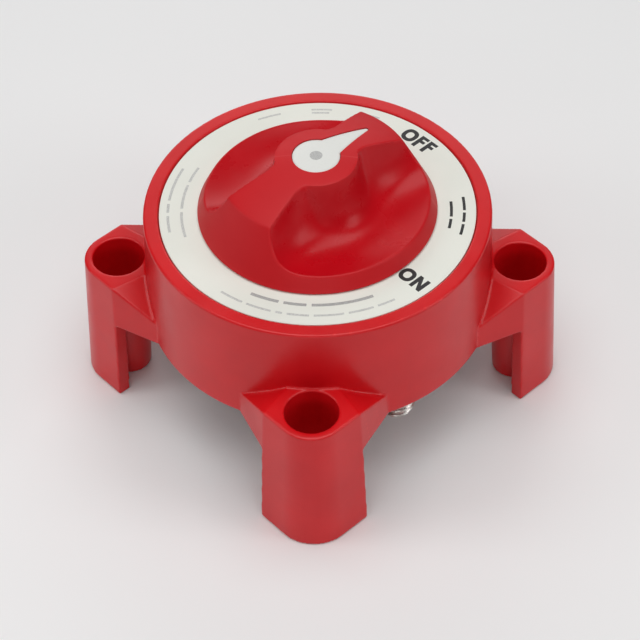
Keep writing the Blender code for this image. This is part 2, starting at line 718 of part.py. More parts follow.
def make_base(material):
    low, high = BASE_Z
    root = high - OVERLAP
    below, above = low - CLEAR, STUD_HEAD_Z[1] + CLEAR
    base = cylinder("base_plate", BASE_RADIUS, low, high, steps=ROUND, material=material)
    radius, top = BEARING
    add(base, cylinder("bearing", radius, root, top))
    cut(base, cylinder("bearing_hole", POST_RADIUS + GAP, POST_FOOT - GAP, above))
    radius, depth = SEAL_SEAT
    for index, x in enumerate((STUD_X, -STUD_X)):
        add(base, cylinder(f"rest_{index}", REST_RADIUS, root, STUD_HEAD_Z[1], (0, x)))
        way = cylinder(f"stud_way_{index}", STUD_RADIUS + STUD_PLAY, below, above, (x, 0))
        cut(base, way, cylinder(f"seal_seat_{index}", radius, high - depth, above, (x, 0)))
    for index, degrees in enumerate(LEG_ANGLES):
        corner = polar(PILLAR_CENTRE, degrees)
        cut(base, cylinder(f"base_hole_{index}", BASE_SCREW_RADIUS + GAP, below, above, corner, 16))


def make_base_screw(index, material):
    seat = BASE_Z[0] - GAP
    radius, height = BASE_SCREW_HEAD
    profile = [
        (0, BASE_SCREW_TOP),
        (BASE_SCREW_RADIUS / 2, BASE_SCREW_TOP),
        (BASE_SCREW_RADIUS, BASE_SCREW_TOP - OVERLAP),
        (BASE_SCREW_RADIUS, seat),
        (radius, seat),
        (radius, seat - 0.6 * height),
        (0.7 * radius, seat - height),
        (0, seat - height),
    ]
    corner = polar(PILLAR_CENTRE, LEG_ANGLES[index])
    screw = turned(f"base_screw_{index + 1}", profile, material, location=(*corner, 0), steps=20)
    length, width = CROSS_ARM
    depth = (seat - 2 * height, seat - 0.5 * height)
    for arm, turn in enumerate((0, 90)):
        x, y = CROSS_REACH * length, CROSS_REACH * width
        slot = box(f"cross_{index}_{arm}", (-x, x), (-y, y), depth, turn)
        slot.location = (*corner, 0)
        cut(screw, slot)


# ---------------------------------------------------------------- assembly


def main():
    red = plastic("red_plastic", (0.62, 0.02, 0.03), 0.42)
    knob_red = plastic("knob_red_plastic", (0.60, 0.02, 0.03), 0.38)
    white = plastic("white_insert_plastic", (0.86, 0.86, 0.83), 0.45)
    label = plastic("printed_label", (0.84, 0.85, 0.79), 0.55)
    black = plastic("black_base_plastic", (0.02, 0.02, 0.022), 0.5)
    dark = plastic("dark_nylon", (0.06, 0.06, 0.065), 0.5)
    rubber = plastic("seal_rubber", (0.015, 0.015, 0.015), 0.7)
    copper = metal("bare_copper", (0.72, 0.36, 0.22), 0.3)
    tin = metal("tinned_copper", (0.80, 0.79, 0.76), 0.28)
    steel = metal("stainless_steel", (0.62, 0.61, 0.59), 0.3)
    brass = metal("brass", (0.74, 0.56, 0.24), 0.3)

    make_housing(red)
    make_label(label)
    knob_axis = axis_empty("knob_axis", (0, 0, RIM_HEIGHT))
    make_knob(knob_red, knob_axis)
    make_insert(white, knob_axis)
    make_knob_screw(steel, knob_axis)
    make_rotor(dark, knob_axis)
    make_bridge(copper, knob_axis)
    low, high = BRIDGE_Z[1] - RIM_HEIGHT, DISC_Z[0] - RIM_HEIGHT
    radius, wire, turns = CONTACT_SPRING
    coil("contact_spring", radius, wire, low + GAP + wire, high - GAP - wire, turns, steel, knob_axis)
    make_detent(1, "a", steel, brass, knob_axis)
    make_detent(-1, "b", steel, brass, knob_axis)
    torus("shaft_seal", *SHAFT_SEAL, SEAL_Z, material=rubber)
    ring("thrust_washer", SHAFT_RADIUS + GAP, BOSS_RADIUS, DISC_Z[1] + GAP, BOSS_Z - GAP, material=brass)

    make_base(black)
    gasket = (CAVITY_RADIUS + 0.4 * MM, BASE_RADIUS)
    ring("base_gasket", *gasket, BASE_Z[1] + GAP, LEDGE_Z - GAP, steps=ROUND, material=rubber)
    for index in range(4):
        make_base_screw(index, steel)
    for side, x in (("right", STUD_X), ("left", -STUD_X)):
        make_stud(side, x, tin)
        make_stud_hardware(side, x, steel, rubber)


clear_scene()
PIECES = new_collection("battery_switch")
TOOLS = new_collection("cutters")
main()
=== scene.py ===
"""Looks for the two-position battery switch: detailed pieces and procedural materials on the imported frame."""
import math

import bmesh
import bpy
import numpy as np
from mathutils import Matrix, Vector


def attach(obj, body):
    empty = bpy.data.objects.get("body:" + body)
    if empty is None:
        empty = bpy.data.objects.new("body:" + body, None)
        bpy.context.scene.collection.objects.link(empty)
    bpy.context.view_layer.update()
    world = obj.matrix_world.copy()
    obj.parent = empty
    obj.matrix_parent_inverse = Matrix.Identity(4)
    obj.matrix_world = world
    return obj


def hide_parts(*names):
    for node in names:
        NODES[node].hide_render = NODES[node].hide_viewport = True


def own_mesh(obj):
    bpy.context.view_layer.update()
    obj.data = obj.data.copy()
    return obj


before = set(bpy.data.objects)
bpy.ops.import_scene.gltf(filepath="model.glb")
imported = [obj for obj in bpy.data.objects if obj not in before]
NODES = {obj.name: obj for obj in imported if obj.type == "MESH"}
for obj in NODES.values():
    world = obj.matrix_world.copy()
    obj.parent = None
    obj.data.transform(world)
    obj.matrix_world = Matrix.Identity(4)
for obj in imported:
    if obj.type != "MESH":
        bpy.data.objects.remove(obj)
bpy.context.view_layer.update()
MM = 0.001

# ---------------------------------------------------------------- sizes, in millimetres

# The body: a drum open below, with a deck under the label.
RIM_Z = 54.6
RIM_RADIUS = 42.0
SKIRT_Z = 24.4
BODY_SLOPE = math.tan(math.radians(1.7))
DECK_TOP = 53.4
DECK_UNDER = 50.6
LABEL_TOP = 54.3
LABEL_INNER = 24.0
LABEL_OUTER = 38.15
PILLAR_CENTRE = 35.4
NOTCH_CENTRE = 25.1
STOP_ANGLES = (159.5, 20.5)

# A leg, drawn along its own outward direction: a nose round the screw and two webs that reach the body.
LEG_ANGLES = (45, 135, 225, 315)
LEG_TOP = 37.1
LEG_SLOPE = math.tan(math.radians(2.9))
LEG_WALL = 3.2
LEG_NOSE = 8.4
LEG_WEB = 10.3
LEG_ROOT_U = 33.0
WEB_TURN = math.radians(27.3)
WING_INNER = (42.1, 5.9)
WING_TIP = (37.8, 17.6)
WING_DROP = 6.5
HOLE_U = 35.0 * math.sqrt(2)
BOSS_TOP = 35.1
WELL_RADIUS = 6.4
WELL_FLOOR = 21.1
SCREW_HOLE = 3.4

# The knob: a dome on a cone, with heights over the rim.
DOME_TOP = 17.35
DOME_FALL = 0.00838
SHOULDER_RADIUS = 22.7
KNOB_RADIUS = 29.1
KNOB_FOOT = -0.2
HUB_RADIUS = 9.75
ARM_HALF_WIDTH = 4.96
RECESS_FLOOR = 1.9
RECESS_RUN = 2.86
INSERT_SINK = 0.25
INSERT_RADIUS = 5.63
INSERT_REACH = 16.35
SOCKET_TOP = 62.8

# The studs and what is on them.
STUD_X = 27.4
STUD_TIP = 4.7
STUD_SHOULDER = 30.4
STUD_RADIUS = 4.74
STUD_BORE = 5.01
THREAD_PITCH = 1.5875
THREAD_DEPTH = 0.86

# The cover.
BASE_UNDER = 28.2
BASE_TOP = 31.6


# ---------------------------------------------------------------- materials


def new_material(name):
    material = bpy.data.materials.new(name)
    material.use_nodes = True
    tree = material.node_tree
    shader = tree.nodes["Principled BSDF"]
    place = tree.nodes.new("ShaderNodeTexCoord")
    return material, tree, shader, place.outputs["Object"]


def noise(tree, place, size, detail=3.0, roughness=0.5, stretch=(1, 1, 1)):
    """Noise with blobs of about that size in millimetres."""
    mapping = tree.nodes.new("ShaderNodeMapping")
    mapping.inputs["Scale"].default_value = stretch
    tree.links.new(place, mapping.inputs["Vector"])
    texture = tree.nodes.new("ShaderNodeTexNoise")
    texture.inputs["Scale"].default_value = 1000 / size
    texture.inputs["Detail"].default_value = detail
    texture.inputs["Roughness"].default_value = roughness
    tree.links.new(mapping.outputs["Vector"], texture.inputs["Vector"])
    return texture.outputs["Fac"]


def remap(tree, value, low, high, start=0.3, end=0.7):
    node = tree.nodes.new("ShaderNodeMapRange")
    node.inputs["From Min"].default_value = start
    node.inputs["From Max"].default_value = end
    node.inputs["To Min"].default_value = low
    node.inputs["To Max"].default_value = high
    tree.links.new(value, node.inputs["Value"])
    return node.outputs["Result"]


def mix(tree, factor, first, second):
    node = tree.nodes.new("ShaderNodeMix")
    node.data_type = "RGBA"
    for socket, value in (("A", first), ("B", second)):
        target = [s for s in node.inputs if s.name == socket and s.type == "RGBA"][0]
        if isinstance(value, tuple):
            target.default_value = (*value, 1)
        else:
            tree.links.new(value, target)
    if isinstance(factor, float):
        node.inputs["Factor"].default_value = factor
    else:
        tree.links.new(factor, node.inputs["Factor"])
    return [s for s in node.outputs if s.type == "RGBA"][0]


def bump(tree, shader, heights):
    """Chains bumps from (height, strength, depth in millimetres)."""
    before = None
    for height, strength, depth in heights:
        node = tree.nodes.new("ShaderNodeBump")
        node.inputs["Strength"].default_value = strength
        node.inputs["Distance"].default_value = depth * MM
        tree.links.new(height, node.inputs["Height"])
        if before is not None:
            tree.links.new(before, node.inputs["Normal"])
        before = node.outputs["Normal"]
    tree.links.new(before, shader.inputs["Normal"])


def edge_mask(tree, start, end):
    """From the mesh's own pointiness, which is 0.5 on a flat face, more on an edge and less in a crease."""
    geometry = tree.nodes.new("ShaderNodeNewGeometry")
    return remap(tree, geometry.outputs["Pointiness"], 0.0, 1.0, start, end)


def moulded_grain(tree, shader, place, grain, depth, ripple=0.25):
    """A fine spark-eroded grain on a faintly uneven face."""
    fine = noise(tree, place, grain, 2)
    wave = noise(tree, place, 7, 1)
    bump(tree, shader, [(wave, ripple, 0.05), (fine, 0.5, depth)])


def blended(tree, factor, first, second):
    """A plain number between two others."""
    node = tree.nodes.new("ShaderNodeMix")
    tree.links.new(factor, node.inputs["Factor"])
    tree.links.new(first, node.inputs["A"])
    if isinstance(second, float):
        node.inputs["B"].default_value = second
    else:
        tree.links.new(second, node.inputs["B"])
    return node.outputs["Result"]


def moulded(name, colour, roughness, grain, depth, variation, edge=None):
    """Moulded plastic: slightly uneven colour, a fine grain and, with an edge colour, a painted highlight that
    lightens the edges.
    """
    material, tree, shader, place = new_material(name)
    darker = tuple(c * (1 - variation) for c in colour)
    lighter = tuple(min(c * (1 + variation) + 0.004, 1) for c in colour)
    cloud = noise(tree, place, 14, 4)
    speck = noise(tree, place, 0.5, 2)
    base = mix(tree, remap(tree, cloud, 0, 1), darker, lighter)
    base = mix(tree, remap(tree, speck, 0.0, 0.16, 0.55, 0.75), base, tuple(c * 0.8 for c in colour))
    # Painted highlight: the edges are mixed towards a lighter colour.
    if edge:
        base = mix(tree, edge_mask(tree, 0.52, 0.62), base, edge)
    tree.links.new(base, shader.inputs["Base Color"])
    smudge = noise(tree, place, 9, 3)
    tree.links.new(remap(tree, smudge, roughness - 0.035, roughness + 0.05), shader.inputs["Roughness"])
    moulded_grain(tree, shader, place, grain, depth)
    return material


def metal(name, colour, roughness, brushed=(1, 1, 1), tint=None):
    """Metal with fine tool marks and an uneven polish."""
    material, tree, shader, place = new_material(name)
    shader.inputs["Metallic"].default_value = 1
    dull = tint or tuple(c * 0.78 for c in colour)
    patch = noise(tree, place, 3, 4)
    tree.links.new(mix(tree, remap(tree, patch, 0, 1), colour, dull), shader.inputs["Base Color"])
    lines = noise(tree, place, 0.9, 4, 0.6, brushed)
    tree.links.new(remap(tree, lines, roughness - 0.08, roughness + 0.14), shader.inputs["Roughness"])
    fine = noise(tree, place, 0.4, 2, 0.5, brushed)
    bump(tree, shader, [(lines, 0.25, 0.02), (fine, 0.2, 0.01)])
    return material


def make_body_red():
    """The housing: satin faces, edges painted lighter as a highlight, and glossy creases."""
    # The last colour is the painted highlight on the housing's edges.
    material = moulded("body_plastic", (0.64, 0.002, 0.006), 0.31, 0.3, 0.018, 0.06, (0.70, 0.012, 0.016))
    tree = material.node_tree
    shader = tree.nodes["Principled BSDF"]
    satin = shader.inputs["Roughness"].links[0].from_socket
    crease = edge_mask(tree, 0.485, 0.45)
    tree.links.new(blended(tree, crease, satin, 0.14), shader.inputs["Roughness"])
    shader.inputs["Specular IOR Level"].default_value = 0.42
    return material


def make_knob_red():
    """The knob: matt on its cone and bar, polished in the finger recesses, with painted shade in the recesses
    and a painted highlight on its edges.
    """
    material, tree, shader, place = new_material("knob_plastic")
    attribute = tree.nodes.new("ShaderNodeAttribute")
    attribute.attribute_name = "polish_and_recess_shade"
    polish_and_recess_shade = attribute.outputs["Fac"]
    smudge = noise(tree, place, 5, 4)
    glossy = remap(tree, smudge, 0.26, 0.33)
    matt = remap(tree, smudge, 0.42, 0.5)
    tree.links.new(blended(tree, polish_and_recess_shade, matt, glossy), shader.inputs["Roughness"])
    cloud = noise(tree, place, 12, 4)
    outside = mix(tree, remap(tree, cloud, 0, 1), (0.54, 0.006, 0.011), (0.58, 0.009, 0.014))
    # Painted shade: the finger recesses get a darker red than the rest of the knob.
    inside = mix(tree, remap(tree, cloud, 0, 1), (0.50, 0.001, 0.006), (0.54, 0.002, 0.008))
    # Painted highlight: the knob's edges are mixed towards a lighter red.
    edge_highlighted = mix(tree, edge_mask(tree, 0.53, 0.66), outside, (0.60, 0.03, 0.035))
    tree.links.new(mix(tree, polish_and_recess_shade, edge_highlighted, inside), shader.inputs["Base Color"])
    shader.inputs["Specular IOR Level"].default_value = 0.26
    moulded_grain(tree, shader, place, 0.3, 0.02, 0.02)
    return material


def make_label_material():
    material, tree, shader, place = new_material("label_film")
    cloud = noise(tree, place, 16, 3)
    fibre = noise(tree, place, 0.35, 3)
    base = mix(tree, remap(tree, cloud, 0, 1), (0.79, 0.81, 0.735), (0.83, 0.845, 0.775))
    base = mix(tree, remap(tree, fibre, 0.0, 0.1, 0.5, 0.75), base, (0.72, 0.735, 0.67))
    tree.links.new(base, shader.inputs["Base Color"])
    tree.links.new(remap(tree, cloud, 0.5, 0.6), shader.inputs["Roughness"])
    bump(tree, shader, [(cloud, 0.15, 0.04), (fibre, 0.25, 0.008)])
    return material


def make_ink(name, colour):
    material, tree, shader, place = new_material(name)
    grain = noise(tree, place, 0.25, 3)
    lighter = tuple(min(c * 1.5 + 0.02, 1) for c in colour)
    base = mix(tree, remap(tree, grain, 0, 1, 0.45, 0.75), colour, lighter)
    tree.links.new(base, shader.inputs["Base Color"])
    tree.links.new(remap(tree, grain, 0.45, 0.6), shader.inputs["Roughness"])
    bump(tree, shader, [(grain, 0.2, 0.006)])
    return material


def make_floor_material():
    material, tree, shader, place = new_material("studio_floor")
    cloud = noise(tree, place, 220, 3)
    pale = mix(tree, remap(tree, cloud, 0, 1), (0.88, 0.88, 0.88), (0.91, 0.91, 0.91))
    tree.links.new(pale, shader.inputs["Base Color"])
    tree.links.new(remap(tree, cloud, 0.55, 0.65), shader.inputs["Roughness"])
    return material


# ---------------------------------------------------------------- mesh helpers, in millimetres


def polar(radius, degrees):
    angle = math.radians(degrees)
    return radius * math.cos(angle), radius * math.sin(angle)


def mesh_from(name, points, faces):
    mesh = bpy.data.meshes.new(name)
    mesh.from_pydata([(x * MM, y * MM, z * MM) for x, y, z in points], [], faces)
    bm = bmesh.new()
    bm.from_mesh(mesh)
    bmesh.ops.remove_doubles(bm, verts=bm.verts, dist=1e-7)
    bmesh.ops.dissolve_degenerate(bm, edges=bm.edges, dist=1e-8)
    bmesh.ops.recalc_face_normals(bm, faces=bm.faces)
    bm.to_mesh(mesh)
    bm.free()
    return mesh


def show(name, mesh, material=None):
    obj = bpy.data.objects.new(name, mesh)
    bpy.context.scene.collection.objects.link(obj)
    if material:
        mesh.materials.clear()
        mesh.materials.append(material)
    return obj


def fillet(corners, steps=4):
    """Rounds each corner (x, y, radius) of a closed outline."""
    outline = []
    for i, (x, y, radius) in enumerate(corners):
        here = Vector((x, y))
        before = Vector(corners[i - 1][:2]) - here
        after = Vector(corners[(i + 1) % len(corners)][:2]) - here
        if radius <= 0:
            outline.append((x, y))
            continue
        half = before.angle(after) / 2
        reach = min(radius / math.tan(half), 0.48 * before.length, 0.48 * after.length)
        start = here + before.normalized() * reach
        end = here + after.normalized() * reach
        for k in range(steps + 1):
            t = k / steps
            outline.append(tuple(start * (1 - t) ** 2 + here * 2 * t * (1 - t) + end * t * t))
    return outline


def spin(name, outline, steps=144, at=(0, 0), phase=0.5):
    """Turns a closed outline of (radius, height) about Z."""
    count = len(outline)
    points = []
    for i in range(steps):
        angle = math.tau * (i + phase) / steps
        points += [(at[0] + r * math.cos(angle), at[1] + r * math.sin(angle), z) for r, z in outline]
    faces = []
    for i in range(steps):
        j = (i + 1) % steps
        for k in range(count):
            m = (k + 1) % count
            if outline[k][0] == 0 and outline[m][0] == 0:
                continue
            faces.append((i * count + k, i * count + m, j * count + m, j * count + k))
    return mesh_from(name, points, faces)


def loft(name, rings, closed=False):
    """Joins rings of equal length; a closed loft's last ring meets its first."""
    count = len(rings[0])
    points = [p for ring in rings for p in ring]
    faces = []
    bands = len(rings) if closed else len(rings) - 1
    for i in range(bands):
        j = (i + 1) % len(rings)
        for k in range(count):
            m = (k + 1) % count
            faces.append((i * count + k, i * count + m, j * count + m, j * count + k))
    if not closed:
        faces.append(tuple(reversed(range(count))))
        faces.append(tuple(range((len(rings) - 1) * count, len(rings) * count)))
    return mesh_from(name, points, faces)


def prism(name, outline, low, high):
    return loft(name, [[(x, y, z) for x, y in outline] for z in (low, high)])


def moved(mesh, turn=0.0, offset=(0, 0, 0)):
    shift = Matrix.Translation(Vector(offset) * MM)
    mesh.transform(shift @ Matrix.Rotation(math.radians(turn), 4, "Z"))
    return mesh


def joined(name, meshes):
    bm = bmesh.new()
    for mesh in meshes:
        bm.from_mesh(mesh)
    out = bpy.data.meshes.new(name)
    bm.to_mesh(out)
    bm.free()
    return out


def baked(obj):
    """Applies the object's modifiers."""
    graph = bpy.context.evaluated_depsgraph_get()
    mesh = bpy.data.meshes.new_from_object(obj.evaluated_get(graph))
    obj.modifiers.clear()
    obj.data = mesh
    return obj


def boolean(mesh, tools, operation="DIFFERENCE"):
    obj = show("work", mesh)
    helpers = [show("tool", tool) for tool in tools]
    for helper in helpers:
        modifier = obj.modifiers.new("cut", "BOOLEAN")
        modifier.operation = operation
        modifier.solver = "EXACT"
        modifier.object = helper
    baked(obj)
    result = obj.data
    for extra in (obj, *helpers):
        bpy.data.objects.remove(extra)
    return result


def smooth(obj, angle=35):
    mesh = obj.data
    for polygon in mesh.polygons:
        polygon.use_smooth = True
    mesh.set_sharp_from_angle(angle=math.radians(angle))


def softened(obj, width, angle):
    bevel = obj.modifiers.new("Soft edges", "BEVEL")
    bevel.width = width * MM
    bevel.segments = 2
    bevel.limit_method = "ANGLE"
    bevel.angle_limit = math.radians(angle)
    bevel.use_clamp_overlap = True
    bevel.harden_normals = False


def finish_piece(obj, body, slot, *nodes):
    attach(obj, body)
    if nodes:
        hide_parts(*nodes)
    return obj


# ---------------------------------------------------------------- housing


def leg_outline(nose, web):
    """The leg's plan for that nose radius and that distance of the webs' corners, as (outward, sideways)."""
    normal = Vector(polar(1, 45))
    across = Vector((math.sin(WEB_TURN), math.cos(WEB_TURN)))
    spread = normal.x * across.y - normal.y * across.x
    crease_u = HOLE_U + (nose * across.y - web * normal.y) / spread
    crease_v = (web * normal.x - nose * across.x) / spread
    root_v = crease_v + (crease_u - LEG_ROOT_U) * math.tan(WEB_TURN)
    arc = [polar(nose, -45 + 90 * i / 24) for i in range(25)]
    points = [(LEG_ROOT_U, -root_v), (crease_u, -crease_v)]
    points += [(HOLE_U + u, v) for u, v in arc]
    return points + [(crease_u, crease_v), (LEG_ROOT_U, root_v)]


def leg_section(height, inset=0.0):
    drop = (LEG_TOP - height) * LEG_SLOPE
    return [(u, v, height) for u, v in leg_outline(LEG_NOSE + drop - inset, LEG_WEB + drop - inset)]


def slope_wings(mesh, lower=0.0):
    """Slices the leg's two wings off at a slope, from the crease down towards the body."""
    top = LEG_TOP - lower
    crease = leg_section(LEG_TOP)[-2]
    bm = bmesh.new()
    bm.from_mesh(mesh)
    for side in (1, -1):
        outer = Vector((crease[0], side * crease[1], top)) * MM
        inner = Vector((WING_INNER[0], side * WING_INNER[1], top)) * MM
        tip = Vector((WING_TIP[0], side * WING_TIP[1], top - WING_DROP)) * MM
        normal = (inner - outer).cross(tip - outer)
        if normal.z < 0:
            normal.negate()
        parts = list(bm.verts) + list(bm.edges) + list(bm.faces)
        bmesh.ops.bisect_plane(bm, geom=parts, plane_co=outer, plane_no=normal, clear_outer=True)
        bmesh.ops.holes_fill(bm, edges=bm.edges)
    bmesh.ops.recalc_face_normals(bm, faces=bm.faces)
    bm.to_mesh(mesh)
    bm.free()
    return mesh


def leg_mesh():
    """A hollow leg, open towards the body below the skirt, with its screw's post inside."""
    roof = 3.0
    setback = 0.3
    leg = slope_wings(loft("leg", [leg_section(0), leg_section(LEG_TOP)]))
    hollow = loft("hollow", [leg_section(-1, LEG_WALL), leg_section(LEG_TOP - roof, LEG_WALL)])
    slope_wings(hollow, roof)
    crease_u, crease_v, _ = leg_section(SKIRT_Z / 2)[-2]
    end_u = crease_u - setback * math.cos(WEB_TURN)
    end_v = crease_v + setback * math.sin(WEB_TURN)
    reach = 2 * LEG_WALL * math.sin(math.radians(45))
    half = [(32, 24), (end_u + reach, end_v + reach), (end_u - reach, end_v - reach)]
    slot = prism("slot", half + [(u, -v) for u, v in reversed(half)], -1, SKIRT_Z)
    core = spin("core", [(0, 50), (41, 50), (41, -2), (0, -2)], 96)
    leg = boolean(leg, [hollow, slot, core])
    post = [(0, BOSS_TOP), (8.3, BOSS_TOP), (8.3, 18.7), (6.45, 18.4), (5.45, 0), (0, 0)]
    boss = spin("boss", post, 96, (HOLE_U, 0))
    well = [(0, 45), (WELL_RADIUS, 45), (WELL_RADIUS, WELL_FLOOR), (0, WELL_FLOOR)]
    hole = [(0, 40), (SCREW_HOLE, 40), (SCREW_HOLE, -5), (0, -5)]
    tools = [spin("well", well, 96, (HOLE_U, 0)), spin("hole", hole, 64, (HOLE_U, 0), 0.2)]
    leg = boolean(leg, [boss], "UNION")
    return boolean(leg, tools)


def body_mesh():
    drop = (RIM_Z - SKIRT_Z) * BODY_SLOPE
    corners = [
        (RIM_RADIUS, RIM_Z, 0.35),
        (RIM_RADIUS + drop, SKIRT_Z, 0.8),
        (39.8, SKIRT_Z, 0.3),
        (39.8, 33.0, 0),
        (38.2, 33.0, 0.3),
        (38.2, DECK_UNDER, 0.3),
        (10.5, DECK_UNDER, 0.3),
        (10.5, 47.7, 0.2),
        (7.3, 47.7, 0.2),
        (7.3, DECK_TOP, 0.2),
        (38.4, DECK_TOP, 0),
        (38.4, RIM_Z, 0.1),
    ]
    return spin("body", fillet(corners, 5), 216)


def housing_piece(material):
    """The body, its legs, screw pillars, notched track and stops, remeshed into one skin with soft edges."""
    into_deck = DECK_UNDER + 1
    shells = [body_mesh()]
    leg = leg_mesh()
    for degrees in LEG_ANGLES:
        shells.append(moved(leg.copy(), degrees))
        tube = [(1.7, 42), (0, 43), (0, into_deck), (3, into_deck), (3, 31.9), (1.7, 31.9)]
        shells.append(spin("pillar", tube, 40, polar(PILLAR_CENTRE, degrees)))
    track = spin("track", [(26.5, into_deck), (29, into_deck), (29, 40.5), (26.5, 40.5)], 144)
    notches = [
        spin("notch", [(0, 49.6), (2.6, 49.6), (2.6, 39), (0, 39)], 40, polar(NOTCH_CENTRE, degrees), 0.3)
        for degrees in (0, 90, 180, 270)
    ]
    shells.append(boolean(track, notches))
    for centre in STOP_ANGLES:
        start, end = centre - 12, centre + 12
        outline = [polar(12, start), polar(16, start), polar(16, end), polar(12, end)]
        shells.append(prism("stop", outline, 47.0, into_deck))
    housing = show("housing_moulding", joined("housing_moulding", shells), material)
    remesh = housing.modifiers.new("One skin", "REMESH")
    remesh.mode = "VOXEL"
    remesh.voxel_size = 0.3 * MM
    relax = housing.modifiers.new("Soft edges", "SMOOTH")
    relax.factor = 0.5
    relax.iterations = 3
    baked(housing)
    housing.data.materials.clear()
    housing.data.materials.append(material)
    for polygon in housing.data.polygons:
        polygon.use_smooth = True
    return finish_piece(housing, "body", "red_plastic", "housing")


# ---------------------------------------------------------------- knob


def dome(radius):
    return DOME_TOP - DOME_FALL * radius**2


def bar_half_width(along):
    """Half the bar's width at its lip: a round hub in the middle, and arms that widen to their ends."""
    hub = math.sqrt(max(HUB_RADIUS**2 - along**2, 0))
    arm = ARM_HALF_WIDTH + 0.22 * max(abs(along) - 11.3, 0)
    return (hub + arm + math.hypot(hub - arm, 1.26)) / 2


def recess(along, across):
    """A finger recess's height. Its wall has the bar's outline at the lip and its own at the foot."""
    edge = bar_half_width(along)
    floor = RECESS_FLOOR + 2.2 * (math.hypot(along, across) / 27.3) ** 4
    rise = dome(math.hypot(along, edge)) - floor
    hub_bulge = 2.9 * math.exp(-((along / 8.5) ** 2))
    end_curve = 0.035 * max(abs(along) - 13.5, 0) ** 2
    foot_line = 5.3 + hub_bulge + end_curve
    fade = 1 - math.exp(-max(across - edge, 0) / 3)
    foot = edge + (foot_line - edge) * fade
    return floor + rise * math.exp(min((foot - across) / RECESS_RUN, 3))


def cone(radius):
    shoulder = dome(SHOULDER_RADIUS)
    return shoulder + (radius - SHOULDER_RADIUS) * (KNOB_FOOT - shoulder) / (KNOB_RADIUS - SHOULDER_RADIUS)


def lower_of(a, b, round_off):
    """The lower of two heights, with the edge between them rounded off."""
    return (a + b - math.hypot(a - b, round_off)) / 2


def knob_height(x, y):
    radius = math.hypot(x, y)
    outside = lower_of(dome(radius), cone(radius), 0.4)
    return lower_of(outside, recess(y, abs(x)), 0.34)


def knob_radii():
    """The rings' radii, closest at the shoulder."""
    radii = [0.35 * i for i in range(1, 63)]
    radii += [21.9, 22.1, 22.3, 22.45, 22.55, 22.63, 22.7, 22.77, 22.85, 22.95, 23.1, 23.3, 23.55]
    radii += [23.8 + 0.22 * i for i in range(24)]
    return radii


def knob_mesh(steps=540):
    """The knob's skin as rings of heights over the label, closed underneath."""
    points = [(0, 0, RIM_Z + knob_height(0, 0))]
    radii = knob_radii()
    for radius in radii:
        for i in range(steps):
            x, y = polar(radius, 360 * i / steps)
            points.append((x, y, RIM_Z + max(knob_height(x, y), KNOB_FOOT)))
    points += [(*polar(28.6, 360 * i / steps), RIM_Z + KNOB_FOOT) for i in range(steps)]
    faces = [(0, 1 + i, 1 + (i + 1) % steps) for i in range(steps)]
    for ring in range(len(radii)):
        start = 1 + ring * steps
        for i in range(steps):
            j = (i + 1) % steps
            faces.append((start + i, start + steps + i, start + steps + j, start + j))
    last = 1 + len(radii) * steps
    faces.append(tuple(last + i for i in reversed(range(steps))))
    return mesh_from("knob_skin", points, faces)


def insert_outline(margin):
    """The disc with its tapering pointer, grown by a margin."""
    disc = [polar(INSERT_RADIUS + margin, 124 + 292 * i / 48) for i in range(49)]
    nose = [polar(0.45 + margin, 10 + 160 * i / 10) for i in range(11)]
    return disc + [(x, y + INSERT_REACH) for x, y in nose]


def dome_cap(shallow, deep):
    """What lies between two depths under the knob's dome."""
    radii = [20.5 * i / 24 for i in range(25)]
    top = [(r, RIM_Z + dome(r) - shallow) for r in radii]
    under = [(r, RIM_Z + dome(r) - deep) for r in reversed(radii)]
    return spin("cap", top + under, 96)


def knob_piece(material):
    """The knob with its insert's pocket, its shaft's flatted socket and its screw's seat."""
    pocket = boolean(prism("pocket", insert_outline(0.15), SOCKET_TOP, 80), [dome_cap(-5, 1.75)], "INTERSECT")
    flats = [prism("flat", rectangle(*ends, -9, 9), 50, 80) for ends in ((4.55, 9), (-9, -4.55))]
    bore = [(0, SOCKET_TOP), (6.1, SOCKET_TOP), (6.1, DECK_TOP), (0, DECK_TOP)]
    socket = boolean(spin("socket", bore, 64), flats)
    seat = spin("seat", [(0, 80), (3.9, 80), (3.9, 67), (0, 67)], 48)
    shank = spin("shank", [(0, 68), (2.3, 68), (2.3, 61.8), (0, 61.8)], 40, phase=0.3)
    cores = []
    for side in (1, -1):
        outline = [(-2.4, side * 10.5), (2.4, side * 10.5), (2.4, side * 21), (-2.4, side * 21)]
        cores.append(prism("core", outline, DECK_TOP, 64.1))
    mesh = boolean(knob_mesh(), [pocket, socket, seat, shank, *cores])
    knob = show("knob_moulding", mesh, material)
    # Weights for the finger recesses: they make the recesses glossier and also carry the painted shade there.
    polish_and_recess_shade = mesh.attributes.new("polish_and_recess_shade", "FLOAT", "POINT")
    polish_and_shade_values = np.zeros(len(mesh.vertices), np.float32)
    for i, vertex in enumerate(mesh.vertices):
        x, y, z = vertex.co / MM
        radius = math.hypot(x, y)
        outside = min(dome(radius), cone(radius))
        hollow = recess(y, abs(x))
        below = outside - hollow
        if abs(z - RIM_Z - hollow) < 0.3 and below > 0:
            polish_and_shade_values[i] = min(below / 0.5, 1)
    polish_and_recess_shade.data.foreach_set("value", polish_and_shade_values)
    smooth(knob, 50)
    return finish_piece(knob, "knob", "knob_red_plastic", "knob")


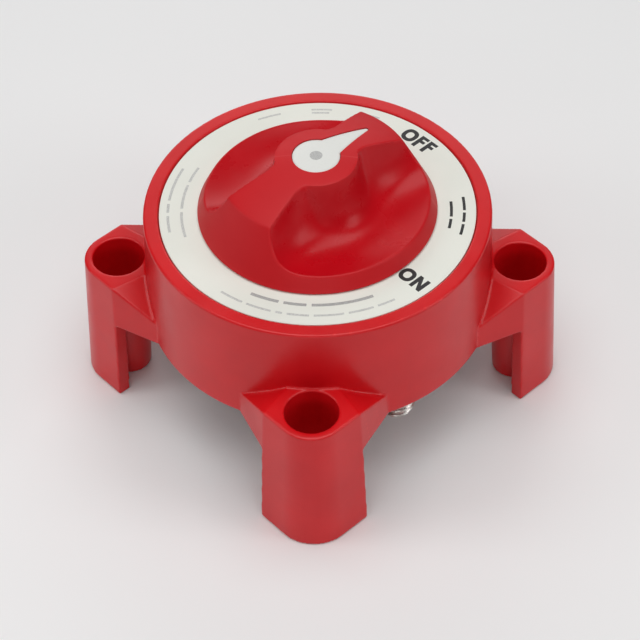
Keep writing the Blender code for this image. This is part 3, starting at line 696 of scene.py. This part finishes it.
def insert_piece(material, mark):
    cap = dome_cap(INSERT_SINK, 1.45)
    mesh = boolean(prism("insert", insert_outline(0), SOCKET_TOP, 80), [cap], "INTERSECT")
    insert = show("pointer_plate", mesh, material)
    softened(insert, 0.1, 40)
    baked(insert)
    smooth(insert, 40)
    finish_piece(insert, "knob", "white_insert_plastic", "pointer_insert")
    top = RIM_Z + dome(0) - INSERT_SINK
    outline = [(0, top + 0.02), (1.5, top + 0.01), (1.5, top - 0.2), (0, top - 0.2)]
    dot = show("pointer_dot", spin("dot", outline, 64), mark)
    smooth(dot)
    return finish_piece(dot, "knob", "white_insert_plastic")


# ---------------------------------------------------------------- label and its print


def label_piece(material):
    under = DECK_TOP + 0.3
    corners = [
        (LABEL_INNER, under, 0),
        (LABEL_INNER, LABEL_TOP, 0),
        (LABEL_OUTER, LABEL_TOP, 0.12),
        (LABEL_OUTER, under, 0),
    ]
    label = show("label_film", spin("label_film", fillet(corners, 3), 216), material)
    smooth(label)
    return finish_piece(label, "body", "printed_label", "label_ring")


def letter_o(width, height, stroke):
    steps = 40
    squareness = 2.4
    rungs = []
    for i in range(steps):
        angle = math.tau * i / steps
        c, s = math.cos(angle), math.sin(angle)
        flat = 1 / (abs(c) ** squareness + abs(s) ** squareness) ** (1 / squareness)
        outer = (c * flat * width / 2, s * flat * height / 2)
        inner = (c * flat * (width / 2 - stroke), s * flat * (height / 2 - stroke))
        rungs.append((inner, outer))
    return [[*here, *reversed(after)] for here, after in zip(rungs, rungs[1:] + rungs[:1])]


def rectangle(x0, x1, y0, y1):
    return [(x0, y0), (x1, y0), (x1, y1), (x0, y1)]


def letter_f(width, height, stroke):
    left, low = -width / 2, -height / 2
    bar = stroke * 0.86
    return [
        rectangle(left, left + stroke, low, low + height),
        rectangle(left + stroke, left + width, low + height - bar, low + height),
        rectangle(left + stroke, left + width * 0.92, low + height * 0.46, low + height * 0.46 + bar),
    ]


def letter_n(width, height, stroke):
    left, right, low, high = -width / 2, width / 2, -height / 2, height / 2
    inner_left, inner_right = left + stroke, right - stroke
    slant = stroke * 1.15 * 1.6
    return [
        rectangle(left, inner_left, low, high),
        rectangle(inner_right, right, low, high),
        [(inner_left, high), (inner_left, high - slant), (inner_right, low), (inner_right, low + slant)],
    ]


def word(letters, centre, height, stroke):
    """Letters given as (shape, width), set in a line along X about a centre."""
    gap = 0.42
    total = sum(width for _, width in letters) + gap * (len(letters) - 1)
    cursor = centre[0] - total / 2
    faces = []
    for shape, width in letters:
        middle = cursor + width / 2
        faces += [[(x + middle, y + centre[1]) for x, y in face] for face in shape(width, height, stroke)]
        cursor += width + gap
    return faces


def dashes(radius, height, start, end, lengths, space):
    """A row of short printed bars on an arc from one angle to another, standing in for small print."""
    faces = []
    direction = 1 if end > start else -1
    angle = start
    index = 0
    while direction * (end - angle) > 0:
        length = lengths[index % len(lengths)]
        sweep = math.degrees(length / radius)
        stop = angle + direction * sweep
        if direction * (stop - end) > 0:
            break
        inner, outer = radius - height / 2, radius + height / 2
        pieces = max(2, round(length / 0.8))
        for k in range(pieces):
            a = angle + (stop - angle) * k / pieces
            b = angle + (stop - angle) * (k + 1) / pieces
            faces.append([polar(inner, a), polar(outer, a), polar(outer, b), polar(inner, b)])
        angle = stop + direction * math.degrees(space / radius)
        index += 1
    return faces


def print_piece(name, faces, material):
    """Ink as a thin solid on the label's face."""
    low_z, high_z = LABEL_TOP - 0.01, LABEL_TOP + 0.015
    points = []
    polygons = []
    for face in faces:
        area = sum(x0 * y1 - x1 * y0 for (x0, y0), (x1, y1) in zip(face, face[1:] + face[:1]))
        face = face if area > 0 else face[::-1]
        count = len(face)
        low = len(points)
        points += [(x, y, low_z) for x, y in face] + [(x, y, high_z) for x, y in face]
        polygons.append(tuple(low + count + k for k in range(count)))
        polygons.append(tuple(low + k for k in reversed(range(count))))
        for k in range(count):
            m = (k + 1) % count
            polygons.append((low + k, low + m, low + count + m, low + count + k))
    mesh = bpy.data.meshes.new(name)
    mesh.from_pydata([(x * MM, y * MM, z * MM) for x, y, z in points], [], polygons)
    return finish_piece(show(name, mesh, material), "body", "printed_label")


def label_print(black, grey, pale):
    off = word([(letter_o, 4.0), (letter_f, 2.45), (letter_f, 2.45)], (-0.1, 34.3), 4.4, 1.05)
    on = word([(letter_o, 3.9), (letter_n, 3.3)], (32.7, 0.0), 4.15, 1.0)
    side = dashes(35.3, 0.7, 52.4, 31.0, (4.6, 3.2, 3.6), 0.8)
    side += dashes(32.2, 0.7, 50.2, 33.6, (5.2, 3.2), 0.8)
    print_piece("label_words", off + on + side, black)
    maker = dashes(31.9, 0.85, -72, -18, (7.0, 5.4, 14.6), 1.2)
    print_piece("label_marks_dark", maker, grey)
    fine = dashes(35.2, 0.6, -82.5, -11.5, (6.0, 6.2, 1.6, 5.2, 7.0, 6.0, 4.4), 1.1)
    fine += dashes(32.7, 0.65, 200, 244.5, (5.4, 8.2, 8.6), 1.2)
    fine += dashes(36.0, 0.65, 203, 240.5, (11.6, 3.0, 5.6), 1.2)
    single = ((35.6, 131, 5.2), (34.4, 132, 4.4), (35.6, 111, 4.6), (34.3, 112, 3.6), (35.4, 152, 6.0))
    for radius, start, length in single:
        fine += dashes(radius, 0.55, start, start + 20, (length, 30), 1)
    print_piece("label_marks_pale", fine, pale)


# ---------------------------------------------------------------- studs and hardware


def threaded(z, angle, depth):
    """The stud's radius on a right-hand 60 degree thread with a small flat at its crest and root."""
    turn = (z / THREAD_PITCH - angle / math.tau) % 1.0
    wave = abs(turn - 0.5) * 2
    cut = min(max((wave - 0.12) / 0.74, 0), 1)
    return STUD_RADIUS - depth * (1 - cut)


def stud_piece(side, x, material):
    steps = 72
    angles = [math.tau * i / steps for i in range(steps)]
    rings = []

    def add_ring(z, radii):
        rings.append([(x + r * math.cos(a), r * math.sin(a), z) for r, a in zip(radii, angles)])

    add_ring(STUD_TIP, [0.001] * steps)
    add_ring(STUD_TIP, [2.2] * steps)
    count = 240
    for k in range(count + 1):
        z = STUD_TIP + (STUD_SHOULDER - STUD_TIP) * k / count
        point = 3.75 + (z - STUD_TIP) * 1.15
        run_out = min(max((z - 27.2) / 1.6, 0), 1)
        add_ring(z, [min(threaded(z, a, THREAD_DEPTH * (1 - run_out)), point) for a in angles])
    head = [(8.35, 31.9), (8.5, 32.05), (8.5, 34.0), (8.35, 34.35), (7.9, 34.7), (4, 34.7), (0.001, 34.7)]
    for radius, z in [(STUD_RADIUS, 31.9), *head]:
        add_ring(z, [radius] * steps)
    stud = show(f"threaded_stud_{side}", loft(f"threaded_stud_{side}", rings), material)
    smooth(stud, 40)
    return finish_piece(stud, "body", "tinned_copper", f"stud_{side}")


def nut_piece(side, x, material):
    """A hexagon nut with chamfered corners, drawn as one section per angle."""
    flat = 7.145
    corner = 8.2
    low, high = 15.1, 23.4
    bore = STUD_BORE
    start = flat - 0.12
    rings = []
    steps = 120
    for i in range(steps):
        degrees = 360 * i / steps
        off = (degrees % 60) - 30
        hexagon = min(flat / math.cos(math.radians(off)), corner)
        rise = (hexagon - start) * math.tan(math.radians(28))
        profile = [
            (bore, low + 0.45),
            (bore + 0.45, low + 0.02),
            (start - 0.1, low),
            (start + 0.02, low + 0.02),
            (hexagon - 0.06, low + rise),
            (hexagon, low + rise + 0.12),
            (hexagon, high - rise - 0.12),
            (hexagon - 0.06, high - rise),
            (start + 0.02, high - 0.02),
            (start - 0.1, high),
            (bore + 0.45, high - 0.02),
            (bore, high - 0.45),
        ]
        c, s = math.cos(math.radians(degrees)), math.sin(math.radians(degrees))
        rings.append([(x + r * c, r * s, z) for r, z in profile])
    nut = show(f"terminal_nut_{side}", loft(f"terminal_nut_{side}", rings, closed=True), material)
    smooth(nut, 24)
    return finish_piece(nut, "body", "stainless_steel", f"hex_nut_{side}")


def washer_pieces(side, x, material):
    """The wide flat washer, and the split spring washer that is open by 8.4 degrees."""
    bore = STUD_BORE
    section = fillet([(bore, 26.3, 0.15), (10.3, 26.3, 0.35), (10.3, 27.9, 0.25), (bore, 27.9, 0.15)], 4)
    flat = show(f"wide_washer_{side}", spin("wide_washer", section, 128, (x, 0)), material)
    smooth(flat)
    finish_piece(flat, "body", "stainless_steel", f"flat_washer_{side}")
    section = fillet([(bore, 23.7, 0.2), (8.4, 23.7, 0.2), (8.4, 26.0, 0.2), (bore, 26.0, 0.2)], 3)
    rings = []
    for i in range(97):
        degrees = 90 + 4.2 + (360 - 8.4) * i / 96
        c, s = math.cos(math.radians(degrees)), math.sin(math.radians(degrees))
        rings.append([(x + r * c, r * s, z) for r, z in section])
    lock = show(f"spring_washer_{side}", loft("spring_washer", rings), material)
    smooth(lock)
    return finish_piece(lock, "body", "stainless_steel", f"lock_washer_{side}")


# ---------------------------------------------------------------- base


def cylinder(name, radius, low, high, steps, at=(0, 0), phase=0.5, edge=0.0):
    """A short round piece about an axis of its own, with its lower edge rounded if asked."""
    corners = [(0, high, 0), (radius, high, 0), (radius, low, edge), (0, low, 0)]
    return spin(name, fillet(corners), steps, at, phase)


def base_piece(material):
    """The cover: a thin-rimmed plate with pads inside, and lands outside round the studs and the screws."""
    corners = [
        (0, BASE_TOP, 0),
        (39.5, BASE_TOP, 0.3),
        (39.5, BASE_UNDER, 0.6),
        (37.6, BASE_UNDER, 0.3),
        (37.2, 28.6, 0.2),
        (0, 28.6, 0),
    ]
    screws = [polar(PILLAR_CENTRE, degrees) for degrees in LEG_ANGLES]
    pads = [cylinder("pad", 7.5, 28.3, 34.2, 72)]
    pads += [cylinder("pad", 7.5, 30.6, 34.7, 72, (0, y)) for y in (STUD_X, -STUD_X)]
    pads += [cylinder("land", 11.2, BASE_UNDER, 31, 96, (x, 0), edge=0.3) for x in (STUD_X, -STUD_X)]
    pads += [cylinder("screw_land", 3.9, BASE_UNDER, 31, 48, at, 0.3, 0.3) for at in screws]
    plate = boolean(spin("plate", fillet(corners, 4), 180), pads, "UNION")
    tools = [cylinder("shaft_way", 4.5, 31, 40, 48, phase=0.2)]
    way = [(0, 40), (7.3, 40), (7.3, 30.2), (STUD_BORE, 30.2), (STUD_BORE, 20), (0, 20)]
    tools += [spin("way", way, 64, (x, 0), 0.3) for x in (STUD_X, -STUD_X)]
    tools += [cylinder("hole", 1.7, 20, 40, 32, at, 0.1) for at in screws]
    base = show("rear_cover", boolean(plate, tools), material)
    smooth(base, 32)
    return finish_piece(base, "body", "black_base_plastic", "base_plate")


def base_screw_piece(index, material):
    """A cross-head screw, turned a little more than the one before it."""
    seat = 27.9
    corners = [
        (0, 40, 0),
        (0.7, 40, 0),
        (1.4, 39, 0),
        (1.4, seat, 0),
        (2.9, seat, 0.25),
        (2.9, 26.9, 0.8),
        (1.9, 26.0, 0.6),
        (0, 26.0, 0),
    ]
    head = spin("head", fillet(corners, 4), 64)
    arms = []
    for turn in (0, 90):
        arm = prism("arm", rectangle(-1.55, 1.55, -0.32, 0.32), 25, 27.0)
        arms.append(moved(arm, turn))
    mesh = moved(boolean(head, arms), 20 * index, (*polar(PILLAR_CENTRE, LEG_ANGLES[index]), 0))
    screw = show(f"cover_screw_{index + 1}", mesh, material)
    smooth(screw, 32)
    return finish_piece(screw, "body", "stainless_steel", f"base_screw_{index + 1}")


# ---------------------------------------------------------------- inner pieces


def coil_mesh(name, radius, wire, low, high, turns):
    steps, section = 40, 14
    count = int(turns * steps)
    rings = []
    for i in range(count + 1):
        angle = math.tau * i / steps
        z = low + (high - low) * i / count
        c, s = math.cos(angle), math.sin(angle)
        ring = []
        for k in range(section):
            a = math.tau * k / section
            reach = radius + wire * math.cos(a)
            ring.append((reach * c, reach * s, z + wire * math.sin(a)))
        rings.append(ring)
    return loft(name, rings)


def springs(material):
    wide = show("bridge_spring", coil_mesh("bridge_spring", 5.9, 0.6, 38.9, 41.5, 2), material)
    smooth(wide)
    finish_piece(wide, "knob", "stainless_steel", "contact_spring")
    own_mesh(wide)
    for letter, side in (("a", 1), ("b", -1)):
        place = Matrix.Translation(Vector((side * 13.8, 0, 43.9)) * MM)
        mesh = coil_mesh(f"plunger_spring_{letter}", 1.5, 0.3, 0.3, 5.3, 5)
        mesh.transform(place @ Matrix.Rotation(side * math.pi / 2, 4, "Y"))
        fine = show(f"plunger_spring_{letter}", mesh, material)
        smooth(fine)
        finish_piece(fine, "knob", "stainless_steel", f"detent_spring_{letter}")


def dress(name, material, width):
    """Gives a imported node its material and, with a width, softly bevelled edges."""
    angle = 30
    node = NODES[name]
    node.data.materials.clear()
    node.data.materials.append(material)
    for polygon in node.data.polygons:
        polygon.material_index = 0
        polygon.use_smooth = True
    node.data.set_sharp_from_angle(angle=math.radians(angle))
    if width:
        softened(node, width, angle)


# ---------------------------------------------------------------- stage


def area_light(name, place, target, size, power):
    data = bpy.data.lights.new(name, "AREA")
    data.shape = "RECTANGLE"
    data.size, data.size_y = size
    data.energy = power
    light = bpy.data.objects.new(name, data)
    bpy.context.scene.collection.objects.link(light)
    light.location = place
    light.rotation_euler = (Vector(target) - Vector(place)).to_track_quat("-Z", "Y").to_euler()


def make_stage():
    bm = bmesh.new()
    bmesh.ops.create_circle(bm, cap_ends=True, segments=96, radius=3.0)
    mesh = bpy.data.meshes.new("floor")
    bm.to_mesh(mesh)
    bm.free()
    floor = show("floor", mesh, make_floor_material())
    floor.location.z = -0.0002
    world = bpy.data.worlds.new("studio")
    world.use_nodes = True
    world.node_tree.nodes["Background"].inputs["Color"].default_value = (1, 1, 1, 1)
    world.node_tree.nodes["Background"].inputs["Strength"].default_value = 0.08
    bpy.context.scene.world = world
    area_light("overhead", (0.04, -0.04, 0.75), (0, 0, 0.03), (0.7, 0.7), 3.9)
    area_light("back_box", (-0.52, 0.47, 0.42), (0, 0, 0.04), (0.6, 0.35), 1.25)
    area_light("front_box", (0.50, -0.48, 0.24), (0, 0, 0.02), (0.6, 0.12), 0.62)
    area_light("left_box", (-0.40, -0.60, 0.40), (0, 0, 0.03), (0.3, 0.5), 1.2)
    area_light("right_box", (0.66, 0.34, 0.40), (0, 0, 0.03), (0.3, 0.5), 1.2)


def make_camera():
    data = bpy.data.cameras.new("camera")
    data.lens = 123.8
    data.sensor_width = 36
    data.clip_start = 0.01
    data.shift_y = -0.0016
    camera = bpy.data.objects.new("camera", data)
    bpy.context.scene.collection.objects.link(camera)
    turn = Matrix.Rotation(math.radians(48), 4, "Z")
    tilt = Matrix.Rotation(math.radians(90 - 47.12), 4, "X")
    roll = Matrix.Rotation(math.radians(-1.49), 4, "Z")
    camera.matrix_world = Matrix.Translation((0.2821, -0.2541, 0.4241)) @ turn @ tilt @ roll
    bpy.context.scene.camera = camera


def main():
    bpy.context.scene.view_settings.view_transform = "Standard"
    red = make_body_red()
    white = moulded("insert_plastic", (0.76, 0.765, 0.73), 0.42, 0.3, 0.01, 0.02)
    # The last colour is a painted highlight on the cover's edges.
    black = moulded("cover_plastic", (0.022, 0.022, 0.024), 0.48, 0.35, 0.02, 0.2, (0.06, 0.06, 0.06))
    nylon = moulded("nylon", (0.05, 0.05, 0.055), 0.5, 0.3, 0.015, 0.15)
    rubber = moulded("rubber", (0.015, 0.015, 0.016), 0.72, 0.5, 0.03, 0.2)
    steel = metal("stainless", (0.62, 0.61, 0.59), 0.28, (1, 1, 6))
    tin = metal("tin_plate", (0.93, 0.90, 0.86), 0.30, (1, 1, 1), (0.80, 0.77, 0.72))
    copper = metal("copper", (0.74, 0.36, 0.22), 0.28, (1, 5, 1), (0.5, 0.21, 0.12))
    brass = metal("brass_turned", (0.74, 0.56, 0.24), 0.26, (1, 1, 5))

    housing_piece(red)
    knob_piece(make_knob_red())
    insert_piece(white, make_ink("ink_dot", (0.42, 0.42, 0.41)))
    label_piece(make_label_material())
    label_print(
        make_ink("ink_black", (0.012, 0.012, 0.013)),
        make_ink("ink_grey", (0.36, 0.37, 0.36)),
        make_ink("ink_pale", (0.50, 0.51, 0.49)),
    )
    for side, x in (("right", STUD_X), ("left", -STUD_X)):
        stud_piece(side, x, tin)
        nut_piece(side, x, steel)
        washer_pieces(side, x, steel)
        dress(f"stud_seal_{side}", rubber, 0)
    base_piece(black)
    for index in range(4):
        base_screw_piece(index, steel)
    springs(steel)
    dress("rotor", nylon, 0.15)
    dress("contact_bridge", copper, 0.3)
    dress("knob_screw", steel, 0.1)
    dress("thrust_washer", brass, 0.1)
    dress("base_gasket", rubber, 0.15)
    dress("shaft_seal", rubber, 0)
    for letter in "ab":
        dress(f"detent_plunger_{letter}", brass, 0)
    make_stage()
    make_camera()


main()
bpy.context.view_layer.update()
